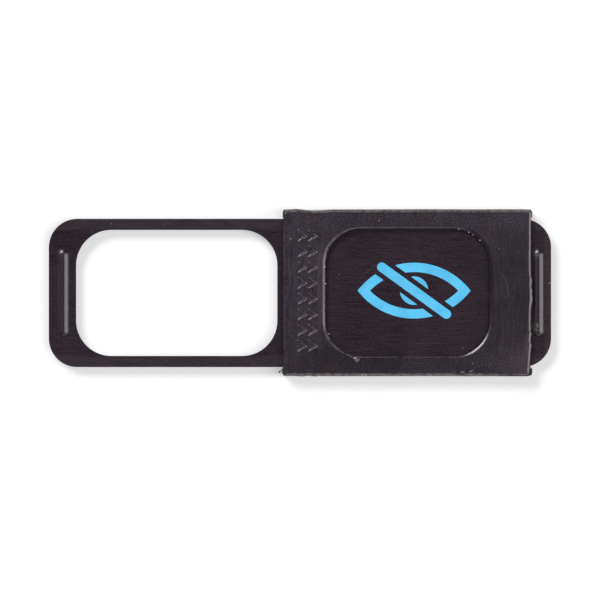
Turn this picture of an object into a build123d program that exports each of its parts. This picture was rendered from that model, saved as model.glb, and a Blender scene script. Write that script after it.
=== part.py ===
from build123d import *
import os

# Webcam cover slider, in millimetres.
# A moulded sleeve sticks round a laptop's camera, and a stamped shutter plate slides through it.
# Origin: centre of the sleeve's window, on the face that sticks to the laptop.
# +X runs along the slide, +Y across it, and +Z points away from the laptop.
# The shutter is drawn at its closed stop, where its blind end covers the window.

# Sleeve
SLEEVE_LENGTH = 21.82
SIDE_WALL = 0.70
FRONT_WALL = 0.45
BACK_WALL = 0.45
WINDOW_LENGTH = 14.40
WINDOW_WIDTH = 11.18
WINDOW_CORNER = 3.20
WINDOW_RIM = 0.20  # slope round the front window, across
WINDOW_RIM_DROP = 0.10  # and down
BACK_RIM = 0.10  # slope round the back window
END_SETBACK = 0.14  # the front and back walls stop short of the side walls' ends
CLOSED_END_BEVEL = 0.26  # slope on the front wall, at the end where the blind end stands out
OPEN_END_BEVEL = 0.30  # slope at the other end
END_BEVEL_DROP = 0.17  # how far both slopes go down
SLEEVE_CORNER = 0.30  # rounding of the four corners, seen from the front
FRONT_EDGE_RADIUS = 0.27
BACK_EDGE_RADIUS = 0.10
SLOT_LEAD_IN = 0.12

# Shutter plate
PLATE_WIDTH = 13.00
PLATE_THICKNESS = 0.30
PLATE_CORNER = 2.50
PLATE_EDGE_ROLL = 0.05  # rounding that the blanking punch leaves on the front edges
PORT_LENGTH = 17.64  # the opening that the camera looks through
PORT_WIDTH = 11.05
PORT_CORNER = 3.10
PORT_TO_SLEEVE = 0.53  # strip of plate between the opening and the sleeve
PORT_TO_BEAD = 0.59
BLIND_END_MARGIN = 0.57  # plate beyond the bead, at each end
PORT_END_MARGIN = 0.80

# Finger bead pressed up at each end of the plate, which is also the stop
BEAD_LENGTH = 7.80
BEAD_WIDTH = 1.00
BEAD_HEIGHT = 0.20
BEAD_FOOT_RADIUS = 0.03  # where the bead's front runs into the plate

# Fit of the plate in its slot
PLATE_SIDE_CLEARANCE = 0.10
PLATE_FACE_CLEARANCE = 0.05
STOP_GAP = 0.22  # left between a bead and the front wall at either end of the travel

# Adhesive frame
TAPE_THICKNESS = 0.20
TAPE_INSET = 0.35  # from the sleeve's outline
TAPE_WINDOW_GAP = 0.25  # from the sleeve's back window
TAPE_CORNER = 0.60

# Heights above the laptop
slot_floor = TAPE_THICKNESS + BACK_WALL
plate_back = slot_floor + PLATE_FACE_CLEARANCE
plate_front = plate_back + PLATE_THICKNESS
slot_roof = plate_front + PLATE_FACE_CLEARANCE
sleeve_front = slot_roof + FRONT_WALL

# Widths across the slide
slot_width = PLATE_WIDTH + 2 * PLATE_SIDE_CLEARANCE
sleeve_width = slot_width + 2 * SIDE_WALL

# Stations along the slide, with the shutter closed
sleeve_end = SLEEVE_LENGTH / 2
wall_end = sleeve_end - END_SETBACK
blind_bead_x = wall_end + STOP_GAP + BEAD_WIDTH / 2
blind_end_x = blind_bead_x + BEAD_WIDTH / 2 + BLIND_END_MARGIN
port_right_x = -sleeve_end - PORT_TO_SLEEVE
port_left_x = port_right_x - PORT_LENGTH
port_bead_x = port_left_x - PORT_TO_BEAD - BEAD_WIDTH / 2
port_end_x = port_bead_x - BEAD_WIDTH / 2 - PORT_END_MARGIN
plate_length = blind_end_x - port_end_x
travel = -wall_end - STOP_GAP - (port_bead_x + BEAD_WIDTH / 2)


def flared_hole(length, width, corner, narrow_z, wide_z, flare):
    """A rounded-rectangle plug that widens by the flare on every side, from narrow_z to wide_z."""
    narrow = RectangleRounded(length, width, corner)
    wide = RectangleRounded(length + 2 * flare, width + 2 * flare, corner + flare)
    return loft([Pos(0, 0, narrow_z) * narrow, Pos(0, 0, wide_z) * wide], ruled=True)


def sleeve_side_outline():
    """The sleeve seen along Y: full length up to the slot's roof, then the bevelled front wall."""
    return Polygon(
        (-sleeve_end, TAPE_THICKNESS),
        (sleeve_end, TAPE_THICKNESS),
        (sleeve_end, slot_roof),
        (wall_end, slot_roof),
        (wall_end, sleeve_front - END_BEVEL_DROP),
        (wall_end - CLOSED_END_BEVEL, sleeve_front),
        (-wall_end + OPEN_END_BEVEL, sleeve_front),
        (-wall_end, sleeve_front - END_BEVEL_DROP),
        (-wall_end, slot_roof),
        (-sleeve_end, slot_roof),
        align=None,
    )


def sleeve_plan():
    """The sleeve seen from the front: rounded corners, and ends that are set back between the side walls."""
    plan = RectangleRounded(SLEEVE_LENGTH, sleeve_width, SLEEVE_CORNER)
    for end_x in (-sleeve_end, sleeve_end):
        plan -= Pos(end_x, 0) * Rectangle(2 * END_SETBACK, slot_width)
    return plan


def sleeve_section():
    """The sleeve cut across the slide: a flat tube with rounded outer edges and a slot for the plate."""
    height = sleeve_front - TAPE_THICKNESS
    outer = Pos(0, TAPE_THICKNESS + height / 2) * Rectangle(sleeve_width, height)
    outer = fillet(outer.vertices().group_by(Axis.Y)[-1], FRONT_EDGE_RADIUS)
    outer = fillet(outer.vertices().group_by(Axis.Y)[0], BACK_EDGE_RADIUS)
    slot_height = slot_roof - slot_floor
    return outer - Pos(0, slot_floor + slot_height / 2) * Rectangle(slot_width, slot_height)


def sleeve():
    """The moulded sleeve: side outline, section and plan crossed, then the lead-ins and the windows."""
    along = extrude(Plane.XZ * sleeve_side_outline(), amount=sleeve_width, both=True)
    across = extrude(Plane.YZ * sleeve_section(), amount=SLEEVE_LENGTH, both=True)
    body = along & across
    body &= extrude(sleeve_plan(), amount=sleeve_front)

    # The lowest edges along Y are the back face's, and the next are the slot floor's, one at each mouth.
    floor_edges = body.edges().filter_by(Axis.Y).group_by(Axis.Z)[1]
    body = chamfer(floor_edges, SLOT_LEAD_IN)

    window = RectangleRounded(WINDOW_LENGTH, WINDOW_WIDTH, WINDOW_CORNER)
    body -= extrude(window, amount=sleeve_front)
    body -= flared_hole(
        WINDOW_LENGTH, WINDOW_WIDTH, WINDOW_CORNER, sleeve_front - WINDOW_RIM_DROP, sleeve_front, WINDOW_RIM
    )
    body -= flared_hole(
        WINDOW_LENGTH, WINDOW_WIDTH, WINDOW_CORNER, TAPE_THICKNESS + BACK_RIM, TAPE_THICKNESS, BACK_RIM
    )
    return body


def half_bead_section(foot_radius):
    """Half of a bead's section: a crown arc that runs through a foot arc into the plate, both tangent."""
    half_width = BEAD_WIDTH / 2
    crown_radius = (half_width**2 + BEAD_HEIGHT**2) / (2 * BEAD_HEIGHT) - foot_radius
    crown_centre = Vector(0, BEAD_HEIGHT - crown_radius)
    foot_centre = Vector(half_width, foot_radius)
    crown_end = crown_centre + (foot_centre - crown_centre).normalized() * crown_radius
    crown = TangentArc((0, BEAD_HEIGHT), crown_end, tangent=(1, 0))
    foot = TangentArc(crown_end, (half_width, 0), tangent=crown % 1)
    return make_face(crown + foot + Polyline((half_width, 0), (0, 0), (0, BEAD_HEIGHT)))


def bead(foot_radius):
    """A bead along Y with round ends, standing on z = 0."""
    straight = BEAD_LENGTH - BEAD_WIDTH
    half = Plane.XZ * half_bead_section(foot_radius)
    side = extrude(half, amount=straight / 2, both=True)
    cap = revolve(half, Axis.Z, 360)
    solid = side + mirror(side, Plane.YZ)
    for end_y in (-straight / 2, straight / 2):
        solid += Pos(0, end_y, 0) * cap
    return solid


def shutter():
    """The stamped shutter: a blanked plate with its port, and a hollow pressed bead at each end."""
    middle = (blind_end_x + port_end_x) / 2
    port_middle = (port_left_x + port_right_x) / 2
    blank = Pos(middle, 0) * RectangleRounded(plate_length, PLATE_WIDTH, PLATE_CORNER)
    blank -= Pos(port_middle, 0) * RectangleRounded(PORT_LENGTH, PORT_WIDTH, PORT_CORNER)
    plate = extrude(Pos(0, 0, plate_back) * blank, amount=PLATE_THICKNESS)
    plate = fillet(plate.edges().group_by(Axis.Z)[-1], PLATE_EDGE_ROLL)

    # The press keeps the sheet's thickness, so the hollow is the bead's front face set back by it.
    front = bead(BEAD_FOOT_RADIUS)
    hollow = bead(BEAD_FOOT_RADIUS + PLATE_THICKNESS)
    for bead_x in (port_bead_x, blind_bead_x):
        plate += Pos(bead_x, 0, plate_front) * front
        plate -= Pos(bead_x, 0, plate_back) * hollow
    return plate


def adhesive_frame():
    """The die-cut double-sided tape round the back window."""
    inset = 2 * TAPE_INSET
    outer = RectangleRounded(SLEEVE_LENGTH - inset, sleeve_width - inset, TAPE_CORNER)
    margin = BACK_RIM + TAPE_WINDOW_GAP
    inner = RectangleRounded(WINDOW_LENGTH + 2 * margin, WINDOW_WIDTH + 2 * margin, WINDOW_CORNER + margin)
    return extrude(outer - inner, amount=TAPE_THICKNESS)


os.makedirs("parts", exist_ok=True)
for name, piece in (("sleeve", sleeve()), ("shutter", shutter()), ("adhesive_frame", adhesive_frame())):
    export_step(piece, f"parts/{name}.step")
print(f"overall {plate_length:.2f} x {sleeve_width:.2f} x {sleeve_front:.2f} mm, travel {travel:.2f} mm")
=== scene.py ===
"""The looks of a stick-on webcam cover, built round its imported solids.

Sizes are millimetres in the part's own frame: +X along the slide, +Y across it, +Z away from the laptop.
Meshes are worked out in millimetres and are scaled to metres when they become pieces.
"""

import logging
import math
import random
from dataclasses import dataclass, field
from enum import Enum
from typing import Any, Callable, ClassVar, Sequence

import bmesh
import bpy
from mathutils import Matrix, Vector, noise

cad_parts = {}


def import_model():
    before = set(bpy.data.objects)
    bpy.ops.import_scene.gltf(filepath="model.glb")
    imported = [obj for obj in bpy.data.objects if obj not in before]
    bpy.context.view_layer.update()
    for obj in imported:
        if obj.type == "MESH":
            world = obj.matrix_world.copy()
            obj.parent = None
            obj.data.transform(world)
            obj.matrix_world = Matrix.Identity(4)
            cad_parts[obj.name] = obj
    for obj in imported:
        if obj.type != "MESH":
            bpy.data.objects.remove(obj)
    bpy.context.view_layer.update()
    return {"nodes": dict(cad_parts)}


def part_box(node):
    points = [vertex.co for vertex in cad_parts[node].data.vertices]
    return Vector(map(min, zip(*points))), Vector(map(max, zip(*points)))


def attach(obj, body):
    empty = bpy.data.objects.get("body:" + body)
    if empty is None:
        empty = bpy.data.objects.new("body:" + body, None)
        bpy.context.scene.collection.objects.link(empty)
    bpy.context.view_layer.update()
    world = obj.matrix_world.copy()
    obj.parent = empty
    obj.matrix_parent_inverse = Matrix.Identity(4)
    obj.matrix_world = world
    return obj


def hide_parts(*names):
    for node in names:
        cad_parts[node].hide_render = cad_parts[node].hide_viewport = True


LOG = logging.getLogger("webcam_cover")
MM = 0.001
WELD_GAP = 1e-4
ORIGIN = (0.0, 0.0, 0.0)
WHITE = (1.0, 1.0, 1.0, 1.0)
BOTH_WAYS = (1.0, -1.0)

Flat = tuple[float, float]
Range = tuple[float, float]
Point = tuple[float, float, float]
Ring = list[Point]
Bevel = tuple[float, float, float]  # run, drop and ease
Cloud = tuple[float, float, float]  # a noise's scale, detail and roughness
Span = tuple[float, float, float, float]  # a range's start and end, and the values that they turn into
Colour = tuple[float, float, float, float]
Socket = bpy.types.NodeSocket
Tree = bpy.types.NodeTree
Material = bpy.types.Material
Piece = bpy.types.Object


class Body(Enum):
    """The bodies that pieces ride on."""

    SLEEVE = "sleeve_body"
    SHUTTER = "shutter_body"


class Slot(Enum):
    """The record's material slots, named for each new piece; nothing here reads them."""

    SLEEVE = "sleeve_plastic"
    SHUTTER = "shutter_metal"


class Side(Enum):
    """The sides of the sleeve seen from the front, anticlockwise from the shutter's blind end."""

    RIGHT = 0
    TOP = 1
    LEFT = 2
    BOTTOM = 3

    @property
    def is_end(self) -> bool:
        """Whether the plate runs out at this side."""
        return self in (Side.RIGHT, Side.LEFT)

    def turn(self, out: float, along: float) -> Flat:
        """Turns a place on this side into X and Y.

        Args:
            out: Its distance out from the middle.
            along: Its run along the side, anticlockwise.

        Returns:
            The place.
        """
        quarter = self.value * math.pi / 2
        cosine = round(math.cos(quarter))
        sine = round(math.sin(quarter))
        return out * cosine - along * sine, out * sine + along * cosine


class Effect(Enum):
    """The surface effects that the finishes draw on."""

    GRAIN = "drawn_grain"
    MOTTLE = "mottle"
    DUST = "fine_dust"
    HAIRLINE = "hairline_scratch"
    # edge wear, and painted highlights along edges
    WEAR = "edge_wear"


def mix(start: float, end: float, share: float) -> float:
    """The value that lies that share of the way from start to end."""
    return start + (end - start) * share


def mix_flat(start: Flat, end: Flat, share: float) -> Flat:
    """The place that lies that share of the way from start to end."""
    return mix(start[0], end[0], share), mix(start[1], end[1], share)


def smooth_step(value: float) -> float:
    """A share that eases in and out between 0 and 1."""
    held = min(max(value, 0.0), 1.0)
    return held * held * (3 - 2 * held)


def spaced(start: float, end: float, count: int) -> list[float]:
    """That many evenly spaced values, with both ends among them."""
    return [mix(start, end, index / (count - 1)) for index in range(count)]


def eased_bevel(run: float, drop: float, ease: float, steps: int) -> list[Flat]:
    """A bevel from a face down to a wall, blended between a flat slope and a round one.

    Args:
        run: How far the bevel reaches in from the wall.
        drop: How far it goes down from the face.
        ease: 0 for a flat slope, 1 for a round one.
        steps: Number of spans.

    Returns:
        Pairs of inset from the wall and drop below the face, from the face to the wall.
    """
    points = []
    for step in range(steps + 1):
        share = step / steps
        angle = share * math.pi / 2
        inset = run * mix(1 - share, 1 - math.sin(angle), ease)
        points.append((inset, drop * mix(share, 1 - math.cos(angle), ease)))
    return points


def put_in_scene(name: str, data: Any) -> Piece:
    """Makes an object of a mesh, lamp or camera, and adds it to the scene.

    Args:
        name: The object's name.
        data: What it is made of.

    Returns:
        The object.
    """
    made = bpy.data.objects.new(name, data)
    bpy.context.scene.collection.objects.link(made)
    return made


def dress(node: Piece, material: Material) -> None:
    """Gives a CAD node its finish.

    Args:
        node: The node's object.
        material: The finish.
    """
    node.data.materials.clear()
    node.data.materials.append(material)
    LOG.info("dressed %s", node.name)


class Graph:
    """A node tree with short calls to add nodes and join them."""

    def __init__(self, tree: Tree) -> None:
        """Takes the tree that the nodes go into."""
        self.tree = tree

    def join(self, socket: Socket, value: Any) -> None:
        """Feeds an input socket.

        Args:
            socket: The socket.
            value: A value for it, or the output that feeds it.
        """
        if isinstance(value, Socket):
            self.tree.links.new(value, socket)
        else:
            socket.default_value = value

    def add(self, kind: str, inputs: dict[Any, Any] | None = None, **settings: Any) -> bpy.types.Node:
        """Adds a node.

        Args:
            kind: Blender's name for the node.
            inputs: Input sockets by name or number, each with a value or the output that feeds it.
            settings: Properties of the node itself.

        Returns:
            The new node.
        """
        node = self.tree.nodes.new(kind)
        for name, value in settings.items():
            setattr(node, name, value)
        for key, value in (inputs or {}).items():
            self.join(node.inputs[key], value)
        return node

    def math(self, operation: str, *values: Any) -> Socket:
        """The result of a Math node on these values or sockets."""
        return self.add("ShaderNodeMath", dict(enumerate(values)), operation=operation).outputs[0]

    def total(self, ground: float, *shares: tuple[Socket, Any]) -> Any:
        """Adds up patterns.

        Args:
            ground: The value that they are added to.
            shares: Each pattern, and the share of it that is added.

        Returns:
            The total.
        """
        total: Any = ground
        for pattern, share in shares:
            total = self.math("MULTIPLY_ADD", pattern, share, total)
        return total

    def centred(self, pattern: Socket) -> Socket:
        """A pattern between 0 and 1, moved to lie evenly about 0."""
        return self.math("SUBTRACT", pattern, 0.5)

    def vector(self, operation: str, first: Any, second: Any, output: str = "Vector") -> Socket:
        """The result of a Vector Math node."""
        return self.add("ShaderNodeVectorMath", {0: first, 1: second}, operation=operation).outputs[output]

    def distance(self, first: Any, second: Any) -> Socket:
        """The distance between two places."""
        return self.vector("DISTANCE", first, second, "Value")

    def parts(self, vector: Socket) -> Sequence[Socket]:
        """The X, Y and Z of a vector."""
        return self.add("ShaderNodeSeparateXYZ", {0: vector}).outputs

    def ramp(self, value: Any, start: Any, end: Any, low: Any = 0.0, high: Any = 1.0) -> Socket:
        """Maps the range start to end smoothly onto low to high, and holds it there."""
        inputs = {0: value, 1: start, 2: end, 3: low, 4: high}
        return self.add("ShaderNodeMapRange", inputs, interpolation_type="SMOOTHSTEP").outputs[0]

    def blend(self, share: Any, first: Any, second: Any, blend_type: str = "MIX") -> Socket:
        """Mixes two colours."""
        inputs = {0: share, 6: first, 7: second}
        return self.add("ShaderNodeMix", inputs, data_type="RGBA", blend_type=blend_type).outputs[2]

    def noise(self, place: Any, scale: Any, detail: float, roughness: float) -> Socket:
        """A cloud noise between 0 and 1."""
        inputs = {"Vector": place, "Scale": scale, "Detail": detail, "Roughness": roughness}
        return self.add("ShaderNodeTexNoise", inputs).outputs[0]

    def cells(self, place: Any, scale: Any) -> Any:
        """The distance from the nearest of many scattered points, and that point's own colour, by name."""
        return self.add("ShaderNodeTexVoronoi", {"Vector": place, "Scale": scale}).outputs


class EffectLibrary:
    """Builds each effect once, as a node group that puts out a mask."""

    SOCKETS = {float: "NodeSocketFloat", tuple: "NodeSocketVector"}

    @classmethod
    def get(cls, kind: Effect) -> Tree:
        """Finds an effect's group, or makes it when it is first asked for.

        Args:
            kind: The effect.

        Returns:
            The group.
        """
        builders: dict[Effect, Callable[[], Tree]] = {
            Effect.GRAIN: cls._grain,
            Effect.MOTTLE: cls._mottle,
            Effect.DUST: cls._dust,
            Effect.HAIRLINE: cls._hairline,
            Effect.WEAR: cls._wear,
        }
        return bpy.data.node_groups.get(kind.value) or builders[kind]()

    @classmethod
    def _start(cls, kind: Effect, **inputs: Any) -> tuple[Graph, Any]:
        """Opens a group.

        Args:
            kind: The effect that the group is for.
            inputs: Its input sockets, each with the value that it starts with.

        Returns:
            The group's graph, and what comes in at its sockets, by name.
        """
        tree = bpy.data.node_groups.new(kind.value, "ShaderNodeTree")
        for name, value in inputs.items():
            socket = tree.interface.new_socket(name, in_out="INPUT", socket_type=cls.SOCKETS[type(value)])
            socket.default_value = value
        tree.interface.new_socket("Mask", in_out="OUTPUT", socket_type="NodeSocketFloat")
        graph = Graph(tree)
        return graph, graph.add("NodeGroupInput").outputs

    @staticmethod
    def _close(graph: Graph, mask: Socket) -> Tree:
        """Joins the mask to the group's output, and gives the group."""
        graph.add("NodeGroupOutput", {"Mask": mask})
        return graph.tree

    @classmethod
    def _grain(cls) -> Tree:
        """Fine parallel lines: noise drawn out along one direction, in two sizes.

        Returns:
            The group.
        """
        graph, given = cls._start(Effect.GRAIN, Place=ORIGIN, Stretch=(1.0, 1.0, 1.0))
        drawn = graph.vector("MULTIPLY", given["Place"], given["Stretch"])
        broad = graph.noise(drawn, scale=1.0, detail=3.0, roughness=0.6)
        fine = graph.noise(drawn, scale=2.7, detail=2.0, roughness=0.5)
        fine_share = 0.45
        both = graph.total(0.0, (broad, 1 - fine_share), (fine, fine_share))
        return cls._close(graph, graph.ramp(both, start=0.32, end=0.68))

    @classmethod
    def _mottle(cls) -> Tree:
        """Soft uneven patches.

        Returns:
            The group.
        """
        graph, given = cls._start(Effect.MOTTLE, Place=ORIGIN, Scale=1.0)
        cloud = graph.noise(given["Place"], given["Scale"], detail=3.0, roughness=0.55)
        return cls._close(graph, graph.ramp(cloud, start=0.33, end=0.67))

    @classmethod
    def _dust(cls) -> Tree:
        """Small separate specks, some larger than others.

        Returns:
            The group.
        """
        graph, given = cls._start(Effect.DUST, Place=ORIGIN, Scale=2.0, Size=0.1, Share=0.5)
        cells = graph.cells(given["Place"], given["Scale"])
        draws = graph.add("ShaderNodeSeparateColor", {0: cells["Color"]}).outputs
        smallest, core = 0.35, 0.5
        reach = graph.math("MULTIPLY", given["Size"], graph.math("ADD", draws[0], smallest))
        speck = graph.ramp(cells["Distance"], graph.math("MULTIPLY", reach, core), reach, low=1.0, high=0.0)
        chosen = graph.math("LESS_THAN", draws[1], given["Share"])
        return cls._close(graph, graph.math("MULTIPLY", speck, chosen))

    @classmethod
    def _hairline(cls) -> Tree:
        """One fine line along an arc, which fades towards its ends, used for each scratch and for a painted
        highlight.

        Returns:
            The group.
        """
        graph, given = cls._start(Effect.HAIRLINE, Place=ORIGIN, Centre=ORIGIN, Radius=5.0, Width=0.04,
                                  Middle=ORIGIN, Reach=1.0)
        flat = graph.vector("MULTIPLY", given["Place"], (1.0, 1.0, 0.0))
        away = graph.math("SUBTRACT", graph.distance(flat, given["Centre"]), given["Radius"])
        line = graph.ramp(graph.math("ABSOLUTE", away), 0.0, given["Width"], low=1.0, high=0.0)
        full_share = 0.4
        full_reach = graph.math("MULTIPLY", given["Reach"], full_share)
        along = graph.distance(flat, given["Middle"])
        near = graph.ramp(along, full_reach, given["Reach"], low=1.0, high=0.0)
        return cls._close(graph, graph.math("MULTIPLY", line, near))

    @classmethod
    def _wear(cls) -> Tree:
        """Edge wear with painted highlights along the edges: the mesh's own edge value, broken up by noise.

        Returns:
            The group.
        """
        graph, given = cls._start(Effect.WEAR, Place=ORIGIN, Edge=0.0, Scale=3.0)
        cloud = graph.noise(given["Place"], given["Scale"], detail=4.0, roughness=0.65)
        patchy = graph.ramp(cloud, start=0.3, end=0.62, low=0.25)
        return cls._close(graph, graph.math("MULTIPLY", given["Edge"], patchy))


class Shader:
    """A material under construction: its graph, its Principled shader and places in millimetres."""

    def __init__(self, name: str, constants: dict[str, Any] | None = None) -> None:
        """Starts a material.

        Args:
            name: Its name.
            constants: The shader's sockets that are the same all over, with their values.
        """
        self.material = bpy.data.materials.new(name)
        self.material.use_nodes = True
        self.graph = Graph(self.material.node_tree)
        self.surface = self.material.node_tree.nodes["Principled BSDF"]
        coordinates = self.graph.add("ShaderNodeTexCoord").outputs
        self.normal = coordinates["Normal"]
        self.place = self.graph.vector("MULTIPLY", coordinates["Object"], (1 / MM,) * 3)
        for socket, value in (constants or {}).items():
            self.feed(socket, value)

    def feed(self, socket: str, value: Any) -> None:
        """Sets a socket of the shader, or joins an output to it."""
        self.graph.join(self.surface.inputs[socket], value)

    def effect(self, kind: Effect, **inputs: Any) -> Socket:
        """The mask of an effect, at the material's own places unless the inputs give others."""
        inputs = {"Place": self.place, **inputs}
        return self.graph.add("ShaderNodeGroup", inputs, node_tree=EffectLibrary.get(kind)).outputs["Mask"]

    def bump(self, height: Socket, depth: float, strength: float = 1.0) -> None:
        """Raises the surface by that height, where 1 stands for a depth in millimetres."""
        inputs = {"Height": height, "Distance": depth * MM, "Strength": strength}
        self.feed("Normal", self.graph.add("ShaderNodeBump", inputs).outputs[0])

    def mark(self, mask: Socket, strength: Any, colour: Socket, marked: Colour) -> Socket:
        """The colour, turned into another one where a mask shows, to that strength."""
        return self.graph.blend(self.graph.math("MULTIPLY", mask, strength), colour, marked)


@dataclass(frozen=True)
class Hairline:
    """One thin line, used for each scratch and for a painted highlight: an arc's centre and radius, and the
    stretch of it that shows.
    """

    centre: Flat
    radius: float
    middle: Flat
    reach: float
    width: float = 0.045
    strength: float = 0.45

    def over(self, shader: Shader, colour: Socket, scuff_and_highlight: Colour) -> Socket:
        """Draws the line.

        Args:
            shader: The material under construction.
            colour: Its colour without the line.
            scuff_and_highlight: The line's own colour.

        Returns:
            The colour with the line.
        """
        mask = shader.effect(Effect.HAIRLINE, Centre=(*self.centre, 0.0), Radius=self.radius,
                             Middle=(*self.middle, 0.0), Reach=self.reach, Width=self.width)
        return shader.mark(mask, self.strength, colour, scuff_and_highlight)


@dataclass(frozen=True)
class Specks:
    """Scattered specks: their colour, closeness, size, the share of them that shows, and their strength."""

    colour: Colour
    scale: float
    size: float
    share: float
    strength: float

    def over(self, shader: Shader, colour: Socket) -> Socket:
        """The colour with the specks on it."""
        mask = shader.effect(Effect.DUST, Scale=self.scale, Size=self.size, Share=self.share)
        return shader.mark(mask, self.strength, colour, self.colour)


@dataclass(frozen=True)
class Patch:
    """A soft patch of a surface: its middle, its reach along X and Y, and its strength at the middle."""

    middle: Flat
    reach: Flat
    strength: float

    def mask(self, shader: Shader) -> Socket:
        """The patch's strength at each place.

        Args:
            shader: The material under construction.

        Returns:
            The strength, which fades to nothing at the patch's reach.
        """
        graph = shader.graph
        offset = graph.vector("SUBTRACT", shader.place, (*self.middle, 0.0))
        scaled = graph.vector("MULTIPLY", offset, (1 / self.reach[0], 1 / self.reach[1], 0.0))
        return graph.ramp(graph.distance(scaled, ORIGIN), 0.0, 1.0, self.strength, 0.0)


@dataclass(frozen=True)
class MouldedFinish:
    """Black moulded plastic with a satin skin: flow lines across the slide, edge wear with painted highlights
    along the edges, a painted sheen band, painted sheen near the lower right corner, a little dust.

    Its flat faces are dull, and its slopes and rounded edges have a thin gloss.
    """

    CONSTANTS: ClassVar[dict[str, Any]] = {
        "Coat Roughness": 0.24,
        "Coat IOR": 1.57,
        "IOR": 1.45,
        "Specular Tint": (1.0, 0.87, 0.91, 1.0),
    }

    name: str = "black_moulded_plastic"
    dark: Colour = (0.0030, 0.0008, 0.0045, 1.0)
    light: Colour = (0.0580, 0.0405, 0.0520, 1.0)
    cool: Colour = (0.8000, 0.9800, 1.2500, 1.0)
    # A light colour for edge wear, for painted highlights along the edges and rim, and for painted sheen.
    wear_and_highlight: Colour = (0.2600, 0.2150, 0.2200, 1.0)
    dust: Specks = Specks((0.3000, 0.2800, 0.2800, 1.0), scale=2.6, size=0.10, share=0.30, strength=0.35)
    ground: float = 0.080
    patches: float = 0.55
    patch_share: float = 0.15
    cool_shift: Point = (17.0, 5.0, 0.0)
    fading: Point = (-0.09, 0.10, 0.0)
    fading_share: float = 0.23
    flow_lines: Point = (6.5, 0.50, 6.5)
    lines_across: Span = (4.6, 6.4, 1.0, 0.6)
    lines_along: Span = (-9.0, -2.0, 0.56, 0.34)
    grain: Cloud = (8.0, 3.0, 0.6)
    grain_across: Span = (4.6, 6.4, 1.75, 3.45)
    grain_upright: Span = (0.985, 0.998, 0.45, 1.0)
    slope: Span = (0.985, 0.998, 1.0, 0.0)
    satin: Span = (0.0, 1.0, 0.40, 0.47)
    polish: float = -0.13
    burnish: Span = (0.0, 0.2, 0.0, 0.08)
    edge_gloss: float = 0.34
    wear_scale: float = 2.2
    line_height: float = 0.4
    skin_depth: float = 0.002
    # A painted sheen band beside the window's left rim, streaked by the flow lines.
    sheen_band: Patch = Patch((-7.65, 0.7), (0.55, 5.5), 0.62)
    shades: tuple[Patch, ...] = (
        Patch((-4.6, -5.8), (7.5, 2.4), -0.30),
        Patch((-1.5, 6.4), (6.0, 1.5), -0.10),
        Patch((9.3, 6.5), (3.2, 2.6), 0.22),
        Patch((8.6, -6.2), (3.4, 2.6), 0.18),
    )
    # Painted sheen near the lower right corner and along the right edge.
    lightened: tuple[Patch, ...] = (
        Patch((10.6, -6.4), (3.0, 3.0), 0.09),
        Patch((10.75, -4.4), (0.55, 3.4), 0.12),
    )
    fine_lines: tuple[Hairline, ...] = (
        Hairline((6.38, 0.11), 2.4, (8.6, 0.9), 1.6, strength=0.22),
        Hairline((20.0, -2.0), 29.6, (-9.6, -1.4), 1.7, strength=0.20),
    )

    def tone(self, shader: Shader, lines: Socket, fine: Socket, upright: Socket) -> Socket:
        """The tone between the dark and the light colour.

        Args:
            shader: The material under construction.
            lines: The flow lines.
            fine: The fine grain.
            upright: How far the surface faces up.

        Returns:
            The tone at each place.
        """
        graph = shader.graph
        x, y, _ = graph.parts(shader.place)
        from_middle = graph.math("ABSOLUTE", y)
        patches = shader.effect(Effect.MOTTLE, Scale=self.patches)
        drift = graph.ramp(graph.vector("DOT_PRODUCT", shader.place, self.fading, "Value"), -1.0, 1.0)
        streaky = graph.math("MULTIPLY", graph.ramp(from_middle, *self.lines_across),
                             graph.ramp(x, *self.lines_along))
        grainy = graph.math("MULTIPLY", graph.ramp(from_middle, *self.grain_across),
                            graph.ramp(upright, *self.grain_upright))
        tone = graph.total(
            self.ground,
            (patches, self.patch_share),
            (drift, self.fading_share),
            (graph.centred(lines), streaky),
            (graph.centred(fine), grainy),
            (lines, self.sheen_band.mask(shader)),
        )
        for shade in self.shades:
            tone = graph.math("ADD", tone, shade.mask(shader))
        return tone

    def material(self) -> Material:
        """Builds the material.

        Returns:
            The material.
        """
        shader = Shader(self.name, self.CONSTANTS)
        graph = shader.graph
        lines = shader.effect(Effect.GRAIN, Stretch=self.flow_lines)
        fine = graph.noise(shader.place, *self.grain)
        upright = graph.parts(shader.normal)[2]
        sloped = graph.ramp(upright, *self.slope)
        tone = self.tone(shader, lines, fine, upright)
        edge = graph.add("ShaderNodeAttribute", attribute_name=Patchwork.WEAR).outputs["Fac"]
        # Edge wear, and painted highlights along the edges and round the window's rim.
        wear_and_highlight_mask = shader.effect(Effect.WEAR, Edge=edge, Scale=self.wear_scale)
        elsewhere = graph.vector("ADD", shader.place, self.cool_shift)
        bluish = shader.effect(Effect.MOTTLE, Place=elsewhere, Scale=self.patches)
        colour = graph.blend(bluish, graph.blend(tone, self.dark, self.light), self.cool, "MULTIPLY")
        # Paints the sheen patches, then the edge wear with its painted highlights.
        for rub in (*(patch.mask(shader) for patch in self.lightened), wear_and_highlight_mask):
            colour = graph.blend(rub, colour, self.wear_and_highlight)
        for scratch in self.fine_lines:
            colour = scratch.over(shader, colour, self.wear_and_highlight)
        shader.feed("Base Color", self.dust.over(shader, colour))
        rough = graph.math("MULTIPLY_ADD", sloped, self.polish, graph.ramp(tone, *self.satin))
        shader.feed("Roughness", graph.math("SUBTRACT", rough, graph.ramp(edge, *self.burnish)))
        shader.feed("Coat Weight", graph.math("MULTIPLY", sloped, self.edge_gloss))
        shader.bump(graph.math("MULTIPLY_ADD", lines, self.line_height, fine), self.skin_depth)
        return shader.material


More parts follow.
